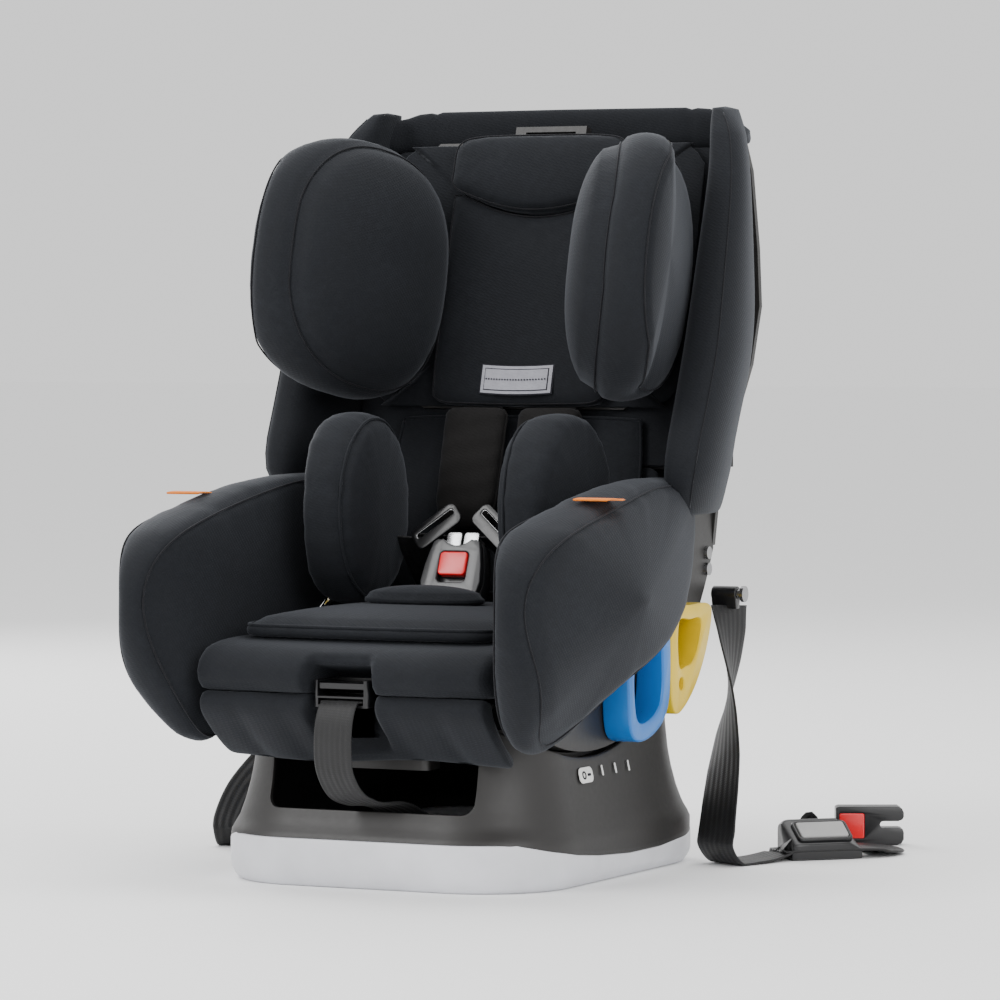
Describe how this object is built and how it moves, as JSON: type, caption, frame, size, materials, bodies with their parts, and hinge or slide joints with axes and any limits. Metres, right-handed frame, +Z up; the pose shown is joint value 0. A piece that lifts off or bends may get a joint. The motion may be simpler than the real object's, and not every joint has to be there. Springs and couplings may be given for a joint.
{
  "type": "convertible child car seat",
  "caption": "Convertible child car seat: padded bucket on a reclining rocker over a flared base, with sliding headrest, harness, buckle and lower anchor straps.",
  "frame": {"origin": "middle of the base's underside", "axes": "+Z up, the seat faces -Y, +X to the right of someone facing the seat's front"},
  "size_m": [0.6019, 0.633, 0.648],
  "materials": {
    "cover_fabric": "soft knit with a fine weave",
    "pad_fabric": "soft brushed knit",
    "foam": "moulded bead foam",
    "base_plastic": "satin, fine texture",
    "band_plastic": "satin",
    "webbing": "woven ribbed webbing",
    "steel": "bright zinc",
    "guide_blue": "satin gloss",
    "guide_yellow": "satin gloss",
    "red_plastic": "satin gloss",
    "button_grey": "satin",
    "black_plastic": "satin",
    "buckle_metal": "gunmetal gloss",
    "print": "printed",
    "tags": "woven tag"
  },
  "bodies": {
    "base": {"base_skirt": "band_plastic", "base_pedestal": "base_plastic", "base_floor_plate": "base_plastic", "base_screws": "steel", "recline_cradle": "base_plastic", "recline_scale_label": "print", "adjuster_strap_tail": "webbing", "anchor_strap_lower_right": "webbing", "anchor_strap_lower_left": "webbing", "strap_adjusters": "black_plastic", "anchor_connectors": "black_plastic"},
    "seat": {"seat_shell": "base_plastic", "shell_screws": "steel", "rear_facing_guides": "guide_blue", "forward_facing_guides": "guide_yellow", "strap_anchor_bars": "steel", "seat_foam": "foam", "back_foam": "foam", "back_cover": "cover_fabric", "top_border": "cover_fabric", "back_bolsters": "cover_fabric", "hip_wings": "cover_fabric", "seat_cushion": "cover_fabric", "front_apron": "cover_fabric", "seat_insert_pad": "cover_fabric", "back_insert_pad": "cover_fabric", "side_insert_pads": "cover_fabric", "crotch_pad": "cover_fabric", "crotch_strap": "webbing", "buckle_housing": "buckle_metal", "buckle_spring": "steel", "buckle_tongues": "black_plastic", "harness_webbing": "webbing", "chest_pads": "pad_fabric", "harness_yoke": "steel", "adjuster_housing": "black_plastic", "adjuster_pin": "steel", "adjuster_strap": "webbing", "headrest_rack": "steel", "anchor_straps_upper": "webbing", "cover_tags": "tags"},
    "headrest": {"headrest_shell": "base_plastic", "headrest_carriage": "base_plastic", "headrest_pad": "cover_fabric", "headrest_pillow": "cover_fabric", "headrest_wings": "cover_fabric", "headrest_label": "print"},
    "recline_handle": {"recline_handle": "base_plastic"},
    "recline_lock": {"recline_lock_bar": "steel"},
    "buckle_button": {"buckle_button": "red_plastic"},
    "buckle_latch": {"buckle_latch": "steel"},
    "adjuster_lever": {"adjuster_lever": "button_grey"},
    "headrest_release": {"headrest_release": "base_plastic"},
    "headrest_bolt": {"headrest_lock_bolt": "steel"},
    "strap_button_right": {"strap_button_right": "button_grey"},
    "strap_button_left": {"strap_button_left": "button_grey"},
    "connector_button_right": {"connector_button_right": "red_plastic"},
    "connector_button_left": {"connector_button_left": "red_plastic"},
    "connector_latch_right": {"connector_latch_right": "steel"},
    "connector_latch_left": {"connector_latch_left": "steel"}
  },
  "joints": [
    {"name": "recline", "type": "hinge", "parent": "base", "child": "seat", "pos_m": [0, -0.045, 0.385], "axis": [-1, 0, 0], "range_deg": [0, 25]},
    {"name": "headrest_height", "type": "slide", "parent": "seat", "child": "headrest", "axis": [0, 0.2588, 0.9659], "range_m": [0, 0.14]},
    {"name": "recline_handle_squeeze", "type": "slide", "parent": "seat", "child": "recline_handle", "axis": [0, 0, 1], "range_m": [0, 0.008], "stiffness_N_per_m": 600, "springref_m": -0.003},
    {"name": "recline_lock_slide", "type": "slide", "parent": "seat", "child": "recline_lock", "axis": [0, -0.2164, 0.9763], "range_m": [0, 0.008]},
    {"name": "buckle_button_press", "type": "slide", "parent": "seat", "child": "buckle_button", "axis": [0, -0.3746, -0.9272], "range_m": [0, 0.005], "stiffness_N_per_m": 800, "springref_m": -0.002},
    {"name": "buckle_latch_slide", "type": "slide", "parent": "seat", "child": "buckle_latch", "axis": [0, -0.3746, -0.9272], "range_m": [0, 0.002]},
    {"name": "adjuster_lever_press", "type": "hinge", "parent": "seat", "child": "adjuster_lever", "pos_m": [0, -0.2, 0.166], "axis": [1, 0, 0], "range_deg": [0, 14], "stiffness_Nm_per_rad": 0.5, "springref_deg": -5.73},
    {"name": "headrest_release_pull", "type": "slide", "parent": "headrest", "child": "headrest_release", "axis": [0, 0.2588, 0.9659], "range_m": [0, 0.005], "stiffness_N_per_m": 600},
    {"name": "headrest_bolt_slide", "type": "slide", "parent": "headrest", "child": "headrest_bolt", "axis": [-1, 0, 0], "range_m": [0, 0.0035]},
    {"name": "strap_button_right_press", "type": "slide", "parent": "base", "child": "strap_button_right", "axis": [-0.3851, 0.3851, -0.8387], "range_m": [0, 0.003], "stiffness_N_per_m": 800, "springref_m": -0.001},
    {"name": "strap_button_left_press", "type": "slide", "parent": "base", "child": "strap_button_left", "axis": [0.5446, 0, -0.8387], "range_m": [0, 0.003], "stiffness_N_per_m": 800, "springref_m": -0.001},
    {"name": "connector_button_right_press", "type": "slide", "parent": "base", "child": "connector_button_right", "axis": [-0.4384, 0.8988, 0], "range_m": [0, 0.003], "stiffness_N_per_m": 800},
    {"name": "connector_button_left_press", "type": "slide", "parent": "base", "child": "connector_button_left", "axis": [0, 1, 0], "range_m": [0, 0.003], "stiffness_N_per_m": 800},
    {"name": "connector_latch_right_rise", "type": "slide", "parent": "base", "child": "connector_latch_right", "axis": [0, 0, 1], "range_m": [0, 0.006]},
    {"name": "connector_latch_left_rise", "type": "slide", "parent": "base", "child": "connector_latch_left", "axis": [0, 0, 1], "range_m": [0, 0.006]}
  ],
  "couplings": [
    {"joint": "recline_lock_slide", "follows": "recline_handle_squeeze", "ratio": 1},
    {"joint": "buckle_latch_slide", "follows": "buckle_button_press", "ratio": 0.4},
    {"joint": "headrest_bolt_slide", "follows": "headrest_release_pull", "ratio": 0.7}
  ]
}
